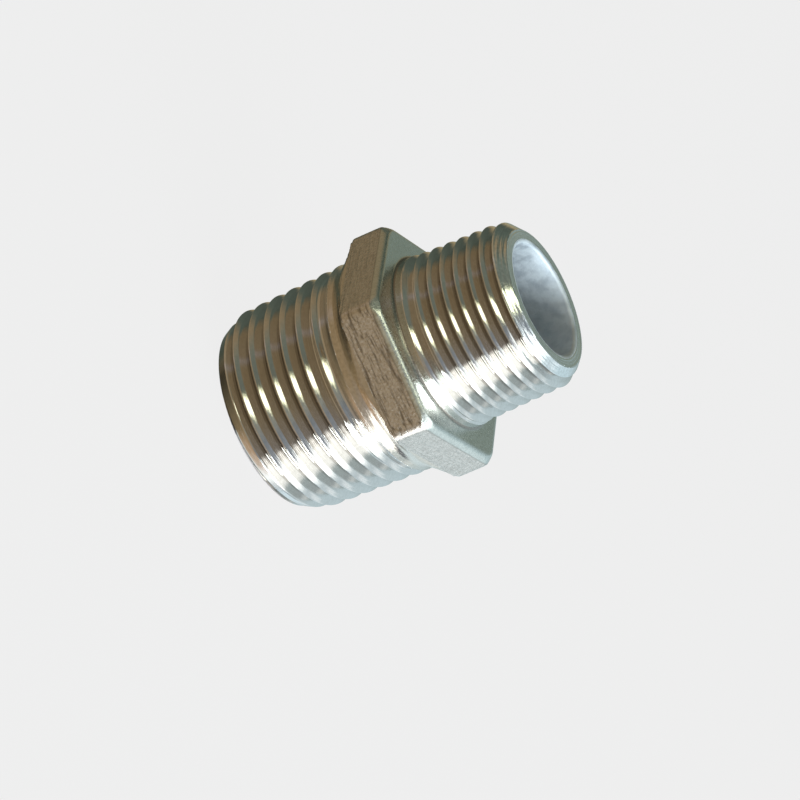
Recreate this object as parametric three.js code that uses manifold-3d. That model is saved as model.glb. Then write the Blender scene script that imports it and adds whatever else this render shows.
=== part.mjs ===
// Reducing hex nipple: one stainless casting with two turned taper threads.
// Frame: millimetres, Z is the axis of the fitting and points to the small end,
// the origin is the centre of the large end face, and +X points at a corner of the hexagon.
import * as THREE from 'three';
import { mergeVertices } from 'three/addons/utils/BufferGeometryUtils.js';
import Module from 'manifold-3d';

// Lengths along the axis.
const largeEndLength = 15.3;
const hexThickness = 4.1;
const smallEndLength = 11.5;
const totalLength = largeEndLength + hexThickness + smallEndLength;
const hexFront = largeEndLength + hexThickness;

// Hexagon: a 22 mm spanner size with cast, rounded corners.
const acrossFlats = 22;
const hexCornerRadius = 0.9;
const hexEdgeBevel = 0.4;
const cornerConeRadius = 11.8; // the front face's corners are turned down to this radius at 45 degrees

// Taper pipe threads: the diameter grows by 1 in 16 from each end face, so the radius by 1 in 32.
const radiusSlope = 1 / 32;
const largeThread = {
  pitch: 25.4 / 14,
  crestRadiusAtFace: 10.35,
  faceRadius: 9.4, // the face ring stops here and the end chamfer starts
  chamferLength: 2,
  crestHeightAtX: 3.92, // a crest passes +X at this distance from the face
  buriedAt: 13.9, // the ridge ends this far from the face, inside the neck
};
const smallThread = {
  pitch: 25.4 / 18,
  crestRadiusAtFace: 8.34,
  faceRadius: 7.08,
  chamferLength: 1.2,
  crestHeightAtX: 2.4,
  buriedAt: 11,
};

// Thread form: 60 degrees between the flanks, crest and root cut flat.
const flankAngle = Math.PI / 6; // each flank against the plane across the axis
const flatPerPitch = 0.07; // width of the crest and of the root
const depthPerPitch = (0.5 - flatPerPitch) / Math.tan(flankAngle);
const ridgeFoot = 0.3; // how far the thread's ridge reaches into the core

// Neck behind the hexagon and collar in front of it.
const neckRadius = 10.7;
const neckLength = 2.1;
const neckFillet = 1.6;
const filletTrim = 0.1; // the fillet stays this far inside the flats
const filletSteps = 3;
const collarRadius = 8.75;
const collarLength = 1.1;
const runOutLength = 1; // along the axis, where the groove dies out

// Bore: one straight cast hole with its edge broken at both faces.
const boreRadius = 5.75;
const boreEdge = 0.35;

const segmentsPerTurn = 28;
const cornerSegments = 3;
const overshoot = 1; // how far a cutting shape stands past what it cuts
const outerReach = 20; // beyond every part of the fitting

const wasm = await Module();
wasm.setup();

// A closed three.js geometry as a solid, and back.
function solid(geometry) {
  geometry.deleteAttribute('normal');
  geometry.deleteAttribute('uv');
  const merged = mergeVertices(geometry, 1e-5);
  return new wasm.Manifold(new wasm.Mesh({
    numProp: 3,
    vertProperties: new Float32Array(merged.attributes.position.array),
    triVerts: new Uint32Array(merged.index.array),
  }));
}

function geometryOf(manifold) {
  const mesh = manifold.getMesh();
  const geometry = new THREE.BufferGeometry();
  geometry.setAttribute('position', new THREE.BufferAttribute(new Float32Array(mesh.vertProperties), 3));
  geometry.setIndex(new THREE.BufferAttribute(new Uint32Array(mesh.triVerts), 1));
  geometry.computeVertexNormals();
  return geometry;
}

// Revolves [radius, z] points, given from low z to high z, about the Z axis.
function turned(points) {
  const profile = points.map(([radius, z]) => new THREE.Vector2(radius, z));
  const geometry = new THREE.LatheGeometry(profile, segmentsPerTurn);
  geometry.rotateX(Math.PI / 2);
  return solid(geometry);
}

// The middle line of a thread's ridge: a right-hand helix on the cone of the thread's roots.
// It runs from its highest turn down, so that normal, binormal and direction are right-handed.
// The frame's normal points away from the axis and its binormal along the axis.
class RidgeLine extends THREE.Curve {
  constructor(lowTurn, highTurn, pitch, heightAtX, rootRadius) {
    super();
    Object.assign(this, { lowTurn, highTurn, pitch, heightAtX, rootRadius });
  }

  turnsAt(t) {
    return THREE.MathUtils.lerp(this.highTurn, this.lowTurn, t);
  }

  getPoint(t, target = new THREE.Vector3()) {
    const turns = this.turnsAt(t);
    const z = this.heightAtX + this.pitch * turns;
    const radius = this.rootRadius(z);
    const angle = 2 * Math.PI * turns;
    return target.set(radius * Math.cos(angle), radius * Math.sin(angle), z);
  }

  getSpacedPoints(divisions) {
    return this.getPoints(divisions);
  }

  computeFrenetFrames(divisions) {
    const frames = { tangents: [], normals: [], binormals: [] };
    for (let i = 0; i <= divisions; i += 1) {
      const angle = 2 * Math.PI * this.turnsAt(i / divisions);
      frames.normals.push(new THREE.Vector3(Math.cos(angle), Math.sin(angle), 0));
      frames.binormals.push(new THREE.Vector3(0, 0, 1));
      frames.tangents.push(new THREE.Vector3(Math.sin(angle), -Math.cos(angle), 0));
    }
    return frames;
  }
}

// A ridge's section: x away from the axis from the root, y along the axis.
function ridgeSection(pitch) {
  const depth = depthPerPitch * pitch;
  const halfRoot = (1 - flatPerPitch) * pitch / 2;
  const halfCrest = flatPerPitch * pitch / 2;
  return new THREE.Shape([
    new THREE.Vector2(-ridgeFoot, -halfRoot),
    new THREE.Vector2(0, -halfRoot),
    new THREE.Vector2(depth, -halfCrest),
    new THREE.Vector2(depth, halfCrest),
    new THREE.Vector2(0, halfRoot),
    new THREE.Vector2(-ridgeFoot, halfRoot),
  ]);
}

// The ridge of one thread, from past its end face until it is buried in the neck or the collar.
// toward is +1 if z grows away from the face, and -1 if z falls.
function ridge(thread, faceHeight, toward) {
  const { pitch } = thread;
  const heightAtX = faceHeight + toward * thread.crestHeightAtX;
  const rootAtFace = thread.crestRadiusAtFace - depthPerPitch * pitch;
  const rootRadius = (z) => rootAtFace + radiusSlope * Math.abs(z - faceHeight);
  const ends = [faceHeight - toward * overshoot, faceHeight + toward * thread.buriedAt];
  const [lowStep, highStep] = ends
    .sort((a, b) => a - b)
    .map((z) => Math.round((z - heightAtX) / pitch * segmentsPerTurn));
  const lowTurn = lowStep / segmentsPerTurn;
  const highTurn = highStep / segmentsPerTurn;
  return solid(new THREE.ExtrudeGeometry(ridgeSection(pitch), {
    steps: highStep - lowStep,
    extrudePath: new RidgeLine(lowTurn, highTurn, pitch, heightAtX, rootRadius),
    bevelEnabled: false,
  }));
}

// Root cone, run-out, neck and fillet of the large end, up to the hexagon.
function largeCore() {
  const { pitch, crestRadiusAtFace } = largeThread;
  const rootAt = (z) => crestRadiusAtFace - depthPerPitch * pitch + radiusSlope * z;
  const neckBottom = largeEndLength - neckLength;
  const runOutBottom = neckBottom - runOutLength;
  const filletCentre = [neckRadius + neckFillet, largeEndLength - neckFillet];
  const points = [
    [0, -overshoot],
    [rootAt(-overshoot), -overshoot],
    [rootAt(runOutBottom), runOutBottom],
    [neckRadius, neckBottom],
  ];
  for (let i = 0; i <= filletSteps; i += 1) {
    const angle = i / filletSteps * Math.PI / 2;
    points.push([
      filletCentre[0] - neckFillet * Math.cos(angle),
      filletCentre[1] + neckFillet * Math.sin(angle),
    ]);
  }
  points.push([filletCentre[0], largeEndLength + hexThickness / 2]);
  points.push([0, largeEndLength + hexThickness / 2]);
  return turned(points);
}

// Collar, run-out and root cone of the small end, from the hexagon outwards.
function smallCore() {
  const { pitch, crestRadiusAtFace } = smallThread;
  const rootAt = (z) => crestRadiusAtFace - depthPerPitch * pitch + radiusSlope * (totalLength - z);
  const collarTop = hexFront + collarLength;
  const runOutTop = collarTop + runOutLength;
  return turned([
    [0, hexFront - hexThickness / 2],
    [collarRadius, hexFront - hexThickness / 2],
    [collarRadius, collarTop],
    [rootAt(runOutTop), runOutTop],
    [rootAt(totalLength + overshoot), totalLength + overshoot],
    [0, totalLength + overshoot],
  ]);
}

// A hexagon with rounded corners, one of them on +X, given by half its width across flats.
function hexOutline(halfWidth, cornerRadius) {
  const corner = (halfWidth - cornerRadius) / Math.cos(Math.PI / 6);
  const outline = new THREE.Shape();
  for (let i = 0; i < 6; i += 1) {
    const angle = i * Math.PI / 3;
    const x = corner * Math.cos(angle);
    const y = corner * Math.sin(angle);
    outline.absarc(x, y, cornerRadius, angle - Math.PI / 6, angle + Math.PI / 6, false);
  }
  return outline;
}

// The hexagon itself, with bevelled edges and the corners of its front face turned off.
function hexagon() {
  const outline = hexOutline(acrossFlats / 2 - hexEdgeBevel, hexCornerRadius - hexEdgeBevel);
  const geometry = new THREE.ExtrudeGeometry(outline, {
    depth: hexThickness - 2 * hexEdgeBevel,
    bevelThickness: hexEdgeBevel,
    bevelSize: hexEdgeBevel,
    bevelSegments: 2,
    curveSegments: cornerSegments,
  });
  geometry.translate(0, 0, largeEndLength + hexEdgeBevel);
  const cornerCone = turned([
    [0, 0],
    [outerReach, 0],
    [outerReach, hexFront - (outerReach - cornerConeRadius)],
    [cornerConeRadius - overshoot, hexFront + overshoot],
    [0, hexFront + overshoot],
  ]);
  return solid(geometry).intersect(cornerCone);
}

// The hexagon's flats carried down past the neck, which trim the neck's fillet.
function flatsOverNeck() {
  const outline = hexOutline(acrossFlats / 2 - filletTrim, hexCornerRadius);
  const geometry = new THREE.ExtrudeGeometry(outline, {
    depth: largeEndLength + hexThickness,
    bevelEnabled: false,
    curveSegments: cornerSegments,
  });
  geometry.translate(0, 0, -overshoot);
  return solid(geometry);
}

// The envelope of the turned ends: both end faces and both end chamfers.
function endEnvelope() {
  const largeCone = (outerReach - largeThread.faceRadius) * largeThread.chamferLength
    / (largeThread.crestRadiusAtFace - largeThread.faceRadius);
  const smallCone = (outerReach - smallThread.faceRadius) * smallThread.chamferLength
    / (smallThread.crestRadiusAtFace - smallThread.faceRadius);
  return turned([
    [0, 0],
    [largeThread.faceRadius, 0],
    [outerReach, largeCone],
    [outerReach, totalLength - smallCone],
    [smallThread.faceRadius, totalLength],
    [0, totalLength],
  ]);
}

// The through bore and the broken edge at each face.
function bore() {
  const mouth = boreRadius + boreEdge + overshoot;
  return turned([
    [0, -overshoot],
    [mouth, -overshoot],
    [boreRadius, boreEdge],
    [boreRadius, totalLength - boreEdge],
    [mouth, totalLength + overshoot],
    [0, totalLength + overshoot],
  ]);
}

const body = largeCore()
  .intersect(flatsOverNeck())
  .add(smallCore())
  .add(ridge(largeThread, 0, 1))
  .add(ridge(smallThread, totalLength, -1))
  .intersect(endEnvelope())
  .add(hexagon())
  .subtract(bore());

const castSteel = new THREE.MeshStandardMaterial({ color: 0x8f8b80, roughness: 0.35, metalness: 1 });
const nippleBody = new THREE.Mesh(geometryOf(body), castSteel);
nippleBody.name = 'nipple_body';

const group = new THREE.Group();
group.add(nippleBody);

export default group;
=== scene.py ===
from math import cos, pi, radians, sin

import bpy
import numpy as np
from mathutils import Matrix, Vector


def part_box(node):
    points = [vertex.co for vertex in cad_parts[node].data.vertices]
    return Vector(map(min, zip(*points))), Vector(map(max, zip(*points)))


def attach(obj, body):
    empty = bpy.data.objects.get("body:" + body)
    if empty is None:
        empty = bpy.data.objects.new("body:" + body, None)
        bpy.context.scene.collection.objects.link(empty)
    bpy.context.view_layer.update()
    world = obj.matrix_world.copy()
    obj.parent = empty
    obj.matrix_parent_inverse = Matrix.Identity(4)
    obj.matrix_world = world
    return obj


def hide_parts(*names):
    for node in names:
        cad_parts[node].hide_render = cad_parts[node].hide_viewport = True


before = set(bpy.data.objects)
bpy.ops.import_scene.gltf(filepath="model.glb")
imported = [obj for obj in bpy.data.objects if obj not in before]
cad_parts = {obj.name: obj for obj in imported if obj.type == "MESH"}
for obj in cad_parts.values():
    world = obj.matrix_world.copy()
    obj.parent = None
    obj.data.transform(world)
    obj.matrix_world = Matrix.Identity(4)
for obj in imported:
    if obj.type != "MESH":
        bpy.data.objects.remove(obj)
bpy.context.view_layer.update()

mm = 0.001
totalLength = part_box("nipple_body")[1].z
print("frame loaded, nipple length", round(totalLength / mm, 2), "mm")

scene = bpy.context.scene


def smoothMax(a, b, width):
    # the larger of two arrays, with the corner between them rounded over about width
    return 0.5 * (a + b + np.sqrt((a - b) ** 2 + width ** 2))


def smoothMin(a, b, width):
    # the smaller of two arrays, rounded over in the same way
    return -smoothMax(-a, -b, width)


def castNoise(x, y, z, grain, seed):
    # value noise: random numbers on a lattice of side grain, blended with smooth cubic steps
    lattice = np.random.default_rng(seed).random((64, 64, 64)) * 2 - 1
    spots = [np.asarray(v) / grain + 32 for v in (x, y, z)]
    cells = [np.floor(v).astype(int) for v in spots]
    steps = [s - c for s, c in zip(spots, cells)]
    ease = [s * s * (3 - 2 * s) for s in steps]
    total = 0
    for i in (0, 1):
        for j in (0, 1):
            for k in (0, 1):
                share = ((ease[0] if i else 1 - ease[0]) * (ease[1] if j else 1 - ease[1])
                         * (ease[2] if k else 1 - ease[2]))
                corner = tuple((cell + step) % 64 for cell, step in zip(cells, (i, j, k)))
                total = total + share * lattice[corner]
    return total


# the fitting is seen from in front of its small end, lying along a line that climbs to the right
camera = dict(
    tilt=radians(22.5),      # how far the small end leans towards the lens
    climb=radians(23.07),    # how far the axis climbs to the right in the view
    spin=radians(2.29),      # turn of the hexagon about the axis
    distance=353.5 * mm,
    lens=164.97,
    aimHeight=15.3 * mm,     # the point of the axis that the next line places
    aimOffset=(0.47 * mm, 3.98 * mm),
)


def makeCamera(c):
    # in the view the axis points (cos tilt cos climb, cos tilt sin climb, sin tilt), and the camera stands
    # where the aim point of the axis comes out at the aim offset and the distance
    axis = Vector((cos(c["tilt"]) * cos(c["climb"]), cos(c["tilt"]) * sin(c["climb"]), sin(c["tilt"])))
    upward = Vector((-sin(c["climb"]), cos(c["climb"]), 0))
    outward = axis.cross(upward)
    partX = cos(c["spin"]) * upward + sin(c["spin"]) * outward
    partY = axis.cross(partX)
    # rows are the camera's axes in the part's frame
    turn = Matrix((partX, partY, axis))
    aim = Vector((c["aimOffset"][0], c["aimOffset"][1], -c["distance"]))
    place = Vector((0, 0, c["aimHeight"])) - turn @ aim
    data = bpy.data.cameras.new("camera")
    data.lens = c["lens"]
    data.clip_start = 0.01
    data.clip_end = 20
    obj = bpy.data.objects.new("camera", data)
    obj.matrix_world = Matrix.Translation(place) @ turn.to_4x4()
    scene.collection.objects.link(obj)
    scene.camera = obj


makeCamera(camera)


# square to the axis: one direction up in the view, one towards the lens
upSide = Vector((cos(camera["spin"]), -sin(camera["spin"]), 0))
lensSide = Vector((sin(camera["spin"]), cos(camera["spin"]), 0))


def inStudio(up, lens, along):
    # a place or direction given as up, towards the lens and along the axis
    return up * upSide + lens * lensSide + along * Vector((0, 0, 1))


print("camera placed")


# the nipple's surface is one closed sheet in the coordinates turn, radius and height
nipple = dict(
    columns=192,
    cornerCrowding=0.62,     # how much closer the columns stand at the hexagon's corners
)

ends = dict(
    largeLength=15.3 * mm,
    hexThickness=4.1 * mm,
    boreRadius=5.75 * mm,
    boreEdge=0.35 * mm,
    largeFaceRadius=9.4 * mm,
    largeChamfer=2.0 * mm,
    smallFaceRadius=7.08 * mm,
    smallChamfer=1.2 * mm,
)
hexFront = ends["largeLength"] + ends["hexThickness"]

hexagon = dict(
    apothem=11.0 * mm,
    cornerRadius=1.0 * mm,
    backEdge=0.35 * mm,
    frontEdge=0.75 * mm,
    coneRadius=11.75 * mm,   # the front face's corners are turned down to this radius
    flatRows=44,
    faceRows=12,
)

# the cast skin: lumps of two sizes, and thin dark streaks that run round the flats
castSkin = dict(
    grain=0.5 * mm,
    lumpHeight=dict(castFlat=0.006 * mm, castFace=0.008 * mm, castBore=0.022 * mm, castNeck=0.005 * mm),
    streakWidth=0.22 * mm,
    streakStretch=7,
    streakHeight=0.05 * mm,
    streakGrime=1.2,
    streakLine=0.2,          # share of the noise's height that a streak takes
    streakOnFlats=(0.25, 1, 0.2, 0.7, 0.5, 0.9),    # from the first flat past +X round to the last
)

neck = dict(
    radius=10.7 * mm,
    length=2.1 * mm,
    fillet=1.6 * mm,
    collarRadius=8.75 * mm,
    collarLength=0.9 * mm,
    collarFoot=0.3 * mm,     # radius of the hollow between the collar and the hexagon's face
    runOutSlope=(0.5, 1.2),  # large end, small end
)

threads = dict(
    large=dict(pitch=25.4 / 14 * mm, crestRadius=10.35 * mm, crestAt=3.92 * mm, hand=1),
    small=dict(pitch=25.4 / 18 * mm, crestRadius=8.34 * mm, crestAt=2.4 * mm, hand=-1),
)

# the groove's form in shares of the pitch: a narrow crest, a worn shoulder, a flank and a root
form = dict(
    halfCrest=0.025,
    shoulderWidth=0.20,
    backShare=0.2,           # width of the shoulder on the large end's side, as a share of the other
    shoulderSlope=1.05,
    flankSlope=1.73,
    depth=0.70,
    crestRound=0.008,
    kneeRound=0.012,
    rootRound=0.03,
    rows=(0.014, 0.03, 0.045, 0.12, 0.2, 0.215, 0.235, 0.31, 0.385, 0.425, 0.46),
    nickSize=0.35 * mm,
    nickDepth=0.03 * mm,
    cutRound=0.03 * mm,      # where the chamfer and the run-out cut the thread
)

steps = np.linspace(0, 2 * pi, nipple["columns"] + 1)
turn = steps - nipple["cornerCrowding"] / 6 * np.sin(6 * steps)
ones = np.ones_like(turn)


def threadDrop(share):
    # depth under the crest at a distance from the crest line, both as shares of the pitch:
    # zero on the crest, then the shoulder's slope, then the flank's slope down to a flat root
    away = np.abs(share)
    width = form["shoulderWidth"] * np.where(share > 0, 1, form["backShare"])
    shoulder = (away - form["halfCrest"]) * form["shoulderSlope"]
    flank = width * form["shoulderSlope"] + (away - form["halfCrest"] - width) * form["flankSlope"]
    drop = smoothMax(smoothMax(0 * away, shoulder, form["crestRound"]), flank, form["kneeRound"])
    return smoothMin(drop, form["depth"] + 0 * away, form["rootRound"])


def threadRows(thread, length, faceRadius, chamfer, coreRadius, runOutSlope):
    # rows follow the helix: distance from the end face = pitch * (whole turns + share + turn / full turn),
    # held between the face and the end of the run-out; radius = crest cone less the groove's depth,
    # cut by the end chamfer and raised by the run-out cone
    pitch = thread["pitch"]
    count = int(length / pitch) + 3
    half = np.array(form["rows"])
    shares = np.concatenate([-half[::-1], [0], half, [0.5]])
    rowAt = (np.arange(-2, count)[:, None] + shares[None, :]).ravel()[:, None]
    lead = thread["hand"] * turn[None, :] / (2 * pi)
    raw = pitch * (rowAt + lead) + thread["crestAt"] % pitch
    away = np.clip(raw, 0, length)
    share = (away - thread["crestAt"]) / pitch - lead
    # the nearest crest; a root line half way always counts from the same side, so the sheet's seam closes
    share = (share + 0.5 + 1e-9) % 1 - 0.5
    drop = threadDrop(share * thread["hand"])
    radius = thread["crestRadius"] + away / 32 - pitch * drop
    # handling has knocked small nicks into the crests
    x, y = radius * np.cos(turn), radius * np.sin(turn)
    nicks = np.maximum(castNoise(x, y, away, form["nickSize"], 7) - 0.45, 0)
    radius = radius - nicks * form["nickDepth"] * np.exp(-(share / 0.05) ** 2)
    cone = faceRadius + away * (thread["crestRadius"] - faceRadius) / chamfer
    radius = smoothMin(radius, cone, form["cutRound"])
    runOut = coreRadius - (length - away) * runOutSlope
    radius = smoothMax(radius, runOut, form["cutRound"])
    onCone = np.abs(radius - cone) < 0.04 * mm
    inThread = (radius > runOut + 0.1 * mm) & ~onCone
    # painted shade: the deepest part of each groove, next to the root, is darkened
    paintedShadeAndStreaks = np.clip((drop / form["depth"] - 0.84) / 0.14, 0, 1) * inThread
    return radius, away, np.abs(share) * pitch * 2, onCone, paintedShadeAndStreaks


def hexRadius(inset):
    # distance to a rounded hexagon's outline: an arc about each corner's centre, else the straight flat
    corner = np.minimum(hexagon["cornerRadius"] - inset, hexagon["cornerRadius"])
    fromCorner = np.abs((turn + pi / 6) % (pi / 3) - pi / 6)
    centre = (hexagon["apothem"] - hexagon["cornerRadius"]) / cos(pi / 6)
    beyond = np.sqrt(np.maximum(corner ** 2 - (centre * np.sin(fromCorner)) ** 2, 0))
    arc = centre * np.cos(fromCorner) + beyond
    flat = (hexagon["apothem"] - inset) / np.cos(pi / 6 - fromCorner)
    lastArc = np.arctan2(corner * 0.5, centre + corner * cos(pi / 6))
    return np.where(fromCorner < lastArc, arc, flat)


def turnedCorner(radius, z):
    # the smaller of the hexagon's radius and a 45 degree cone that ends at the front face
    return smoothMin(radius, hexagon["coneRadius"] + hexFront - z, 0.12 * mm)


rows = []            # each is (radius, height, pattern coordinate, finish number, painted shade and streaks)
finishNames = ["turnedFace", "turnedThread", "castNeck", "castFlat", "castFace", "castBore"]


def addRow(radius, height, lathe, finish, paintedShadeAndStreaks=0):
    # one ring of the sheet, with single values spread over all the columns
    number = np.full(len(turn), finishNames.index(finish))
    rows.append((radius * ones, height * ones, lathe * ones, number, paintedShadeAndStreaks * ones))


def lerp(a, b, t):
    # from a to b as t goes from 0 to 1
    return a + (b - a) * t


# large end face, from the bore's edge out to the chamfer
mouth = ends["boreRadius"] + ends["boreEdge"]
for t in (0, 0.05, 0.35, 0.65, 0.95, 0.995):
    r = lerp(mouth, ends["largeFaceRadius"], t)
    addRow(r, 0, r, "turnedFace")

# large chamfer and thread, up to the neck
neckBottom = ends["largeLength"] - neck["length"]
thread = threadRows(threads["large"], neckBottom, ends["largeFaceRadius"], ends["largeChamfer"],
                    neck["radius"], neck["runOutSlope"][0])
for radius, away, lathe, onCone, paintedShadeAndStreaks in zip(*thread):
    addRow(radius, away, lathe, "turnedThread", paintedShadeAndStreaks)

# neck and its concave fillet, held inside the hexagon's flats
filletStart = ends["largeLength"] - neck["fillet"]
for t in (0.04, 0.35, 0.7, 0.96):
    z = lerp(neckBottom, filletStart, t)
    addRow(neck["radius"], z, z, "castNeck")
fullHex = hexRadius(0)
for angle in np.linspace(0, pi / 2, 9):
    r = neck["radius"] + neck["fillet"] * (1 - cos(angle))
    z = filletStart + neck["fillet"] * sin(angle)
    addRow(smoothMin(r * ones, fullHex - 0.02 * mm, 0.06 * mm), z, z, "castNeck")

# back face, rounded back edge, flats, rounded front edge and front face of the hexagon
filletTop = np.minimum(neck["radius"] + neck["fillet"], fullHex - 0.02 * mm)
backEdge = np.maximum(hexRadius(hexagon["backEdge"]), filletTop)
for t in (0.3, 0.7, 0.97):
    addRow(lerp(filletTop, backEdge, t), ends["largeLength"], ends["largeLength"], "castFace")
for angle in np.linspace(0, pi / 2, 6):
    inset = hexagon["backEdge"] * (1 - sin(angle))
    z = ends["largeLength"] + hexagon["backEdge"] * (1 - cos(angle))
    addRow(np.maximum(hexRadius(inset), filletTop), z, z, "castFlat")
flatLow = ends["largeLength"] + hexagon["backEdge"]
flatHigh = hexFront - hexagon["frontEdge"]
for t in np.linspace(0, 1, hexagon["flatRows"])[1:-1]:
    z = lerp(flatLow, flatHigh, t)
    addRow(turnedCorner(fullHex, z), z, z, "castFlat")
for angle in np.linspace(0, pi / 2, 8):
    inset = hexagon["frontEdge"] * (1 - cos(angle))
    z = flatHigh + hexagon["frontEdge"] * sin(angle)
    # the first row of the front edge, along the top of the flats, is darkened by the same mask
    addRow(turnedCorner(hexRadius(inset), z), z, z, "castFace" if angle > 0.2 else "castFlat",
           0.6 if angle < 0.1 else 0)
frontEdge = turnedCorner(hexRadius(hexagon["frontEdge"]), hexFront)
for t in np.linspace(0, 1, hexagon["faceRows"] + 1)[1:]:
    addRow(lerp(frontEdge, (neck["collarRadius"] + 0.35 * mm) * ones, t), hexFront, t, "castFace")
# the corner between face and collar, darkened with painted shade
for angle, paintedShadeAndStreaks in ((0.1, 0.2), (0.5, 0.9), (0.9, 1), (1.3, 0.8)):
    r = neck["collarRadius"] + neck["collarFoot"] * (1 - sin(angle))
    z = hexFront + neck["collarFoot"] * (1 - cos(angle))
    addRow(r, z, 0, "castFace", paintedShadeAndStreaks)

# collar, small thread and small end face
for t in (0.3, 0.6, 0.9):
    addRow(neck["collarRadius"], hexFront + neck["collarLength"] * t, t * mm, "turnedThread")
smallLength = totalLength - hexFront - neck["collarLength"]
thread = threadRows(threads["small"], smallLength, ends["smallFaceRadius"], ends["smallChamfer"],
                    neck["collarRadius"], neck["runOutSlope"][1])
for radius, away, lathe, onCone, paintedShadeAndStreaks in zip(*[part[::-1] for part in thread]):
    number = np.where(onCone, finishNames.index("turnedFace"), finishNames.index("turnedThread"))
    rows.append((radius, totalLength - away, np.where(onCone, away, lathe), number, paintedShadeAndStreaks))
for t in (0.02, 0.3, 0.7, 0.98):
    r = lerp(ends["smallFaceRadius"], mouth, t)
    addRow(r, totalLength, r, "turnedFace")

# the bore, down from the small end: rounded edge, cast wall, rounded edge
for angle in np.linspace(0, pi / 2, 5):
    z = totalLength - ends["boreEdge"] * (1 - cos(angle))
    addRow(mouth - ends["boreEdge"] * sin(angle), z, 0, "castBore")
for t in np.linspace(0, 1, 26)[1:-1]:
    addRow(ends["boreRadius"], lerp(totalLength - ends["boreEdge"], ends["boreEdge"], t), 0, "castBore")
for angle in np.linspace(pi / 2, 0, 5):
    addRow(mouth - ends["boreEdge"] * sin(angle), ends["boreEdge"] * (1 - cos(angle)), 0, "castBore")

radius, height, lathe, finish, paintedShadeAndStreaks = (np.array(part) for part in zip(*rows))
print("profile rows", radius.shape)


def flatStreaks(radius, height, finish):
    # thin lines where a noise stretched round the fitting crosses zero: 1 on a line, 0 between,
    # on the hexagon's flats only and weaker on some of them
    x, y = radius * np.cos(turn), radius * np.sin(turn)
    long = castSkin["streakStretch"]
    noise = castNoise(x / long, y / long, height, castSkin["streakWidth"], 5)
    flatNumber = np.floor(np.minimum(turn, 2 * pi - 1e-6) / (pi / 3)).astype(int)
    strength = np.array(castSkin["streakOnFlats"])[flatNumber]
    strength[-1] = strength[0]      # both sides of the seam are the same
    line = np.clip(1 - np.abs(noise) / castSkin["streakLine"], 0, 1)
    return line * strength * (finish == finishNames.index("castFlat"))


def skinHeight(radius, height, finish):
    # depth = two sizes of noise times the finish's lump height, plus the streaks; turned surfaces stay smooth
    x, y = radius * np.cos(turn), radius * np.sin(turn)
    grain = castSkin["grain"]
    lumps = castNoise(x, y, height, grain, 3) + 0.6 * castNoise(x, y, height, grain / 2.1, 4)
    deep = np.zeros_like(radius)
    for name, lumpHeight in castSkin["lumpHeight"].items():
        deep = np.where(finish == finishNames.index(name), lumpHeight, deep)
    return np.abs(lumps) * deep + flatStreaks(radius, height, finish) * castSkin["streakHeight"]


weldDistance = 0.0001 * mm


def closedMesh(name, radius, height, lathe, finish, paintedShadeAndStreaks):
    # points on the grid, joined to quads row to row and the last row back to the first;
    # points that coincide become one, and quads that lose a side become triangles or vanish
    skin = skinHeight(radius, height, finish)
    frontFace = (finish == finishNames.index("castFace")) & (np.abs(height - hexFront) < 1e-6)
    r = radius - np.where(frontFace, 0, skin)
    z = height - np.where(frontFace, skin, 0)
    points = np.stack([r * np.cos(turn), r * np.sin(turn), z], axis=-1).reshape(-1, 3)
    points[:, 2] = np.clip(points[:, 2], 0, totalLength)
    keys = np.round(points / weldDistance).astype(np.int64)
    unique, first, same = np.unique(keys, axis=0, return_index=True, return_inverse=True)
    same = same.reshape(radius.shape)
    low, high = same, np.roll(same, -1, axis=0)
    quads = np.stack([low[:, :-1], low[:, 1:], high[:, 1:], high[:, :-1]], axis=-1).reshape(-1, 4)
    kinds = np.maximum(finish, np.roll(finish, -1, axis=0))[:, :-1].reshape(-1)
    kinds = np.where(np.roll(finish, -1, axis=0)[:, :-1].reshape(-1) == 0, 0, kinds)
    repeated = quads == np.roll(quads, -1, axis=1)
    sides = 4 - repeated.sum(axis=1)
    folded = (quads[:, 0] == quads[:, 2]) | (quads[:, 1] == quads[:, 3])
    whole = quads[(sides == 4) & ~folded]
    part = quads[(sides == 3) & ~folded]
    triangles = part[~repeated[(sides == 3) & ~folded]].reshape(-1, 3)
    mesh = bpy.data.meshes.new(name)
    mesh.from_pydata(points[first].tolist(), [], whole.tolist() + triangles.tolist())
    order = np.concatenate([kinds[(sides == 4) & ~folded], kinds[(sides == 3) & ~folded]])
    mesh.polygons.foreach_set("material_index", order.astype(np.int32))
    for title, values in (("lathe", lathe), ("paintedShadeAndStreaks", paintedShadeAndStreaks)):
        layer = mesh.attributes.new(title, "FLOAT", "POINT")
        layer.data.foreach_set("value", values.reshape(-1)[first].astype(np.float32))
    mesh.shade_smooth()
    mesh.update()
    obj = bpy.data.objects.new(name, mesh)
    scene.collection.objects.link(obj)
    return obj


# the flats' dark cast streaks join the painted shade of the thread roots and the collar corner in one
# darkening mask
paintedShadeAndStreaks = np.maximum(paintedShadeAndStreaks, flatStreaks(radius, height, finish) * castSkin["streakGrime"])
body = closedMesh("nippleBody", radius, height, lathe, finish, paintedShadeAndStreaks)
print("nipple mesh", len(body.data.vertices), "points", len(body.data.polygons), "faces")


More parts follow.
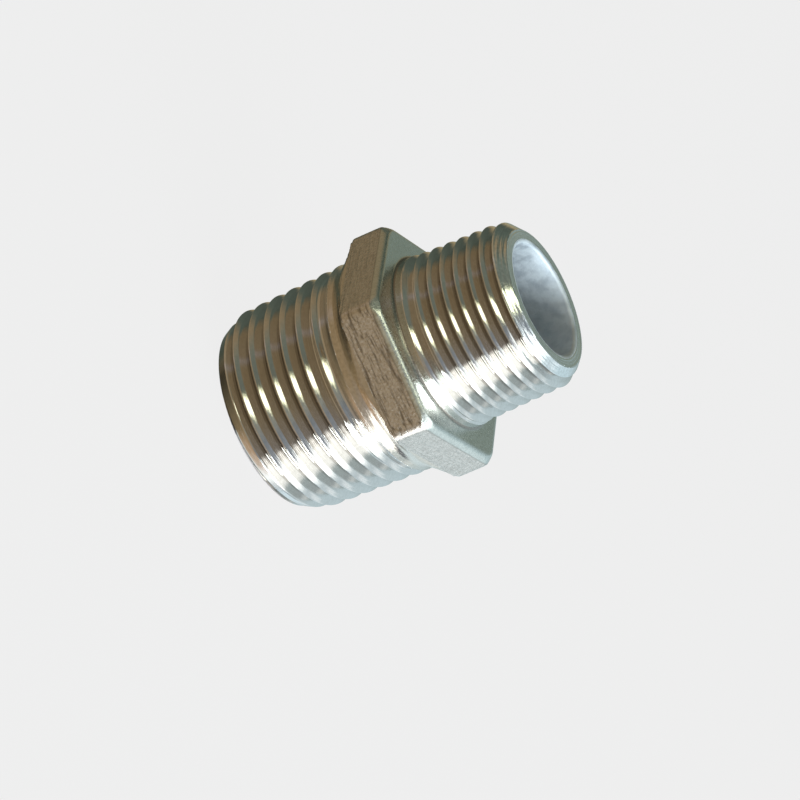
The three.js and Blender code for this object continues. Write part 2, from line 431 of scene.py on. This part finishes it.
# lines: height of the tool lines, width: their spacing, grain and patch: size of the bumps and of the stains
finishes = dict(
    turnedFace=dict(color=(0.74, 0.77, 0.76), worn=(0.64, 0.67, 0.66), rough=(0.08, 0.16),
                    lines=0.09 * mm, width=0.22 * mm, grain=0.05, patch=0.3 * mm),
    turnedThread=dict(color=(0.64, 0.63, 0.60), worn=(0.59, 0.58, 0.55), rough=(0.05, 0.10),
                      lines=0.01 * mm, width=0.10 * mm, grain=0.04, patch=0.3 * mm),
    castNeck=dict(color=(0.62, 0.58, 0.51), worn=(0.55, 0.51, 0.44), rough=(0.14, 0.24),
                  lines=0.05 * mm, width=0.35 * mm, grain=0.2, patch=0.3 * mm),
    castFlat=dict(color=(0.64, 0.61, 0.56), worn=(0.50, 0.47, 0.42), rough=(0.22, 0.36),
                  lines=0.02 * mm, width=0.16 * mm, grain=0.7, patch=0.25 * mm),
    castFace=dict(color=(0.58, 0.61, 0.57), worn=(0.51, 0.54, 0.50), rough=(0.24, 0.34),
                  lines=0, width=0.2 * mm, grain=0.4, patch=0.3 * mm),
    castBore=dict(color=(0.58, 0.63, 0.66), worn=(0.45, 0.50, 0.54), rough=(0.60, 0.78),
                  lines=0, width=0.2 * mm, grain=0.35, patch=0.9 * mm),
)
# what all the finishes share
allFinishes = dict(
    paintedShadeAndStreakColor=(0.24, 0.22, 0.19),
    grainScale=4500,
    grainHeight=0.06 * mm,
    lineScale=160,           # how quickly the tool lines change round the axis
)


def makeFinish(name, f):
    # metal whose colour and gloss follow a noise, darkened by painted shade in the thread roots and corners
    # and by the flats' dark streaks, with fine bumps and tool lines
    material = bpy.data.materials.new(name)
    material.use_nodes = True
    nodes, links = material.node_tree.nodes, material.node_tree.links
    shader = nodes["Principled BSDF"]
    shader.inputs["Metallic"].default_value = 1
    coords = nodes.new("ShaderNodeTexCoord")
    # coarse patches of colour and gloss
    patches = nodes.new("ShaderNodeTexNoise")
    patches.inputs["Scale"].default_value = 1 / f["patch"]
    patches.inputs["Detail"].default_value = 6
    links.new(coords.outputs["Object"], patches.inputs["Vector"])
    tint = nodes.new("ShaderNodeValToRGB")
    tint.color_ramp.elements[0].position = 0.35
    tint.color_ramp.elements[0].color = (*f["worn"], 1)
    tint.color_ramp.elements[1].position = 0.62
    tint.color_ramp.elements[1].color = (*f["color"], 1)
    # painted shade darkens the thread roots and the collar corner; the same mask carries the flats' dark
    # streaks
    paintedShadeAndStreaks = nodes.new("ShaderNodeAttribute")
    paintedShadeAndStreaks.attribute_name = "paintedShadeAndStreaks"
    shadeAndStreakMix = nodes.new("ShaderNodeMix")
    shadeAndStreakMix.data_type = "RGBA"
    links.new(paintedShadeAndStreaks.outputs["Fac"], shadeAndStreakMix.inputs["Factor"])
    links.new(tint.outputs["Color"], shadeAndStreakMix.inputs[6])
    shadeAndStreakMix.inputs[7].default_value = (*allFinishes["paintedShadeAndStreakColor"], 1)
    links.new(shadeAndStreakMix.outputs[2], shader.inputs["Base Color"])
    gloss = nodes.new("ShaderNodeMapRange")
    gloss.inputs["From Min"].default_value = 0.3
    gloss.inputs["From Max"].default_value = 0.7
    gloss.inputs["To Min"].default_value = f["rough"][0]
    gloss.inputs["To Max"].default_value = f["rough"][1]
    links.new(patches.outputs["Fac"], gloss.inputs["Value"])
    links.new(gloss.outputs["Result"], shader.inputs["Roughness"])
    # cast grain
    grain = nodes.new("ShaderNodeTexNoise")
    grain.inputs["Scale"].default_value = allFinishes["grainScale"]
    grain.inputs["Detail"].default_value = 4
    links.new(coords.outputs["Object"], grain.inputs["Vector"])
    grainBump = nodes.new("ShaderNodeBump")
    grainBump.inputs["Strength"].default_value = f["grain"]
    grainBump.inputs["Distance"].default_value = allFinishes["grainHeight"]
    links.new(grain.outputs["Fac"], grainBump.inputs["Height"])
    last = grainBump
    if f["lines"]:
        # tool lines run round the axis: slow change with X and Y, quick change along the profile
        attribute = nodes.new("ShaderNodeAttribute")
        attribute.attribute_name = "lathe"
        split = nodes.new("ShaderNodeSeparateXYZ")
        links.new(coords.outputs["Object"], split.inputs["Vector"])
        across = nodes.new("ShaderNodeMath")
        across.operation = "MULTIPLY"
        across.inputs[1].default_value = 1 / (f["width"] * allFinishes["lineScale"])
        links.new(attribute.outputs["Fac"], across.inputs[0])
        join = nodes.new("ShaderNodeCombineXYZ")
        links.new(split.outputs["X"], join.inputs["X"])
        links.new(split.outputs["Y"], join.inputs["Y"])
        links.new(across.outputs["Value"], join.inputs["Z"])
        lines = nodes.new("ShaderNodeTexNoise")
        lines.inputs["Scale"].default_value = allFinishes["lineScale"]
        lines.inputs["Detail"].default_value = 3
        links.new(join.outputs["Vector"], lines.inputs["Vector"])
        lineBump = nodes.new("ShaderNodeBump")
        lineBump.inputs["Strength"].default_value = 1
        lineBump.inputs["Distance"].default_value = f["lines"]
        links.new(lines.outputs["Fac"], lineBump.inputs["Height"])
        links.new(grainBump.outputs["Normal"], lineBump.inputs["Normal"])
        last = lineBump
    links.new(last.outputs["Normal"], shader.inputs["Normal"])
    links.new(patches.outputs["Fac"], tint.inputs["Fac"])
    return material


for name in finishNames:
    body.data.materials.append(makeFinish(name, finishes[name]))
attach(body, "root")
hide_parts("nipple_body")
print("finishes made")


stage = dict(
    floorColor=(0.02, 0.02, 0.02),
    floorGlow=0.835,         # evens out the floor, which would fall off to the sides
    floorSize=6.0,
)


def makeFloor(s):
    # one square at height 0, centred on the fitting
    half = s["floorSize"] / 2
    corners = [(-half, -half, 0), (half, -half, 0), (half, half, 0), (-half, half, 0)]
    mesh = bpy.data.meshes.new("floor")
    mesh.from_pydata(corners, [], [(0, 1, 2, 3)])
    floor = bpy.data.objects.new("floor", mesh)
    scene.collection.objects.link(floor)
    material = bpy.data.materials.new("floorPaint")
    material.use_nodes = True
    shader = material.node_tree.nodes["Principled BSDF"]
    shader.inputs["Base Color"].default_value = (*s["floorColor"], 1)
    shader.inputs["Roughness"].default_value = 0.9
    shader.inputs["Specular IOR Level"].default_value = 0
    shader.inputs["Emission Color"].default_value = (1, 1, 1, 1)
    shader.inputs["Emission Strength"].default_value = s["floorGlow"]
    mesh.materials.append(material)
    # the metal sees the studio, not the floor
    floor.visible_glossy = False
    floor.visible_diffuse = False
    floor.visible_shadow = False


def makePanel(name, p):
    # a soft box at a place in the studio, turned to face the middle of the fitting;
    # its width lies as nearly along the fitting's axis as it can
    data = bpy.data.lights.new(name, "AREA")
    data.shape = "RECTANGLE"
    data.size, data.size_y = p["size"]
    data.color = p["color"]
    data.energy = p["radiance"] * pi * p["size"][0] * p["size"][1]
    obj = bpy.data.objects.new(name, data)
    middle = Vector((0, 0, totalLength / 2))
    place = middle + inStudio(*p["place"])
    out = (place - middle - inStudio(*p["aim"])).normalized()
    side = Vector((0, 0, 1)) - out.z * out
    side.normalize()
    facing = Matrix((side, out.cross(side), out)).transposed()
    obj.matrix_world = Matrix.Translation(place) @ facing.to_4x4()
    obj.visible_camera = False
    scene.collection.objects.link(obj)


def makeSky(s):
    # colour = a ring of colours by the angle round the fitting's axis,
    # replaced by other rings with height along it
    world = bpy.data.worlds.new("studio")
    scene.world = world
    world.use_nodes = True
    nodes, links = world.node_tree.nodes, world.node_tree.links
    coords = nodes.new("ShaderNodeTexCoord")

    def along(direction):
        dot = nodes.new("ShaderNodeVectorMath")
        dot.operation = "DOT_PRODUCT"
        dot.inputs[1].default_value = direction
        links.new(coords.outputs["Generated"], dot.inputs[0])
        return dot.outputs["Value"]

    def ramp(value, low, high, stops):
        spread = nodes.new("ShaderNodeMapRange")
        spread.inputs["From Min"].default_value = low
        spread.inputs["From Max"].default_value = high
        links.new(value, spread.inputs["Value"])
        colors = nodes.new("ShaderNodeValToRGB")
        while len(colors.color_ramp.elements) < len(stops):
            colors.color_ramp.elements.new(0.5)
        for element, (position, color) in zip(colors.color_ramp.elements, stops):
            element.position = (position - low) / (high - low)
            element.color = (*color, 1)
        links.new(spread.outputs["Result"], colors.inputs["Fac"])
        return colors.outputs["Color"]

    angle = nodes.new("ShaderNodeMath")
    angle.operation = "ARCTAN2"
    links.new(along(upSide), angle.inputs[0])
    links.new(along(lensSide), angle.inputs[1])
    degrees = nodes.new("ShaderNodeMath")
    degrees.operation = "DEGREES"
    links.new(angle.outputs["Value"], degrees.inputs[0])
    height = along(Vector((0, 0, 1)))
    color = None
    for ring in s["rings"]:
        hue = ramp(degrees.outputs["Value"], -180, 180, ring["around"])
        if color is None:
            color = hue
            continue
        # a ring takes over between its two heights
        share = nodes.new("ShaderNodeMapRange")
        share.inputs["From Min"].default_value, share.inputs["From Max"].default_value = ring["between"]
        links.new(height, share.inputs["Value"])
        mix = nodes.new("ShaderNodeMix")
        mix.data_type = "RGBA"
        links.new(share.outputs["Result"], mix.inputs["Factor"])
        links.new(color, mix.inputs[6])
        links.new(hue, mix.inputs[7])
        color = mix.outputs[2]
    links.new(color, nodes["Background"].inputs["Color"])
    nodes["Background"].inputs["Strength"].default_value = s["strength"]


# each ring: degrees round the axis, from the lens side upwards, and the colour there; the first is
# the middle of the room, the next two lie towards the large end and the last towards the small end
sky = dict(
    strength=4.0,
    rings=[
        dict(around=[(-180, (0.065, 0.078, 0.07)), (-150, (0.17, 0.21, 0.23)), (-130, (0.18, 0.22, 0.24)),
                     (-122, (0.30, 0.33, 0.35)), (-114, (0.18, 0.21, 0.23)), (-92, (0.20, 0.24, 0.26)),
                     (-84, (0.6, 0.62, 0.64)), (-57, (0.62, 0.63, 0.64)), (-51, (0.10, 0.09, 0.085)),
                     (-20, (0.11, 0.09, 0.065)), (0, (0.105, 0.08, 0.05)), (70, (0.10, 0.077, 0.048)),
                     (77, (0.125, 0.108, 0.10)), (84, (0.10, 0.077, 0.05)), (118, (0.085, 0.064, 0.038)),
                     (136, (0.03, 0.037, 0.03)), (156, (0.022, 0.027, 0.022)), (164, (0.11, 0.088, 0.05)),
                     (172, (0.065, 0.078, 0.066)), (180, (0.065, 0.078, 0.068))]),
        dict(between=(-0.43, -0.5),
             around=[(-180, (0.12, 0.13, 0.13)), (-145, (0.22, 0.27, 0.30)), (-127, (0.25, 0.30, 0.33)),
                     (-118, (0.03, 0.035, 0.045)), (-101, (0.025, 0.03, 0.04)), (-93, (0.8, 0.83, 0.85)),
                     (-49, (0.9, 0.9, 0.9)), (-44, (0.10, 0.09, 0.085)), (0, (0.10, 0.08, 0.055)),
                     (60, (0.085, 0.062, 0.036)), (114, (0.06, 0.045, 0.026)), (134, (0.018, 0.022, 0.016)),
                     (180, (0.03, 0.035, 0.03))]),
        dict(between=(-0.74, -0.84),
             around=[(-180, (0.2, 0.24, 0.26)), (-105, (0.40, 0.42, 0.43)), (-95, (0.40, 0.41, 0.42)),
                     (-88, (0.17, 0.12, 0.08)), (-40, (0.14, 0.098, 0.06)), (0, (0.08, 0.06, 0.034)),
                     (60, (0.045, 0.036, 0.022)), (110, (0.01, 0.009, 0.006)), (180, (0.012, 0.012, 0.01))]),
        dict(between=(0.5, 0.72),
             around=[(-180, (0.06, 0.075, 0.065)), (-150, (0.09, 0.10, 0.11)), (-125, (0.15, 0.18, 0.19)),
                     (-112, (0.19, 0.23, 0.25)), (-104, (0.55, 0.57, 0.58)), (-76, (0.6, 0.62, 0.63)),
                     (-70, (0.10, 0.11, 0.125)), (-30, (0.065, 0.072, 0.08)), (-10, (0.085, 0.088, 0.08)),
                     (25, (0.08, 0.084, 0.074)), (50, (0.045, 0.048, 0.04)), (112, (0.05, 0.058, 0.048)),
                     (132, (0.014, 0.02, 0.016)), (150, (0.014, 0.02, 0.016)), (160, (0.05, 0.052, 0.04)),
                     (180, (0.065, 0.08, 0.068))]),
    ],
)

panels = dict(
    softBox=dict(place=(0.125, 0.184, 0.56), aim=(0, 0, 0), size=(0.40, 0.135),
                 color=(1.0, 1.0, 0.86), radiance=2.6),
    softBoxRim=dict(place=(0.128, 0.188, 0.572), aim=(0, 0, 0), size=(0.43, 0.17),
                    color=(1.0, 1.0, 0.16), radiance=0.5),
    boreLight=dict(place=(-0.36, 0.24, 0.14), aim=(0, 0, 0.015), size=(0.26, 0.26),
                   color=(0.86, 0.95, 1.0), radiance=14),
)

makeFloor(stage)
makeSky(sky)
for name, panel in panels.items():
    makePanel(name, panel)

scene.view_settings.view_transform = "Standard"
print("floor and lights placed")
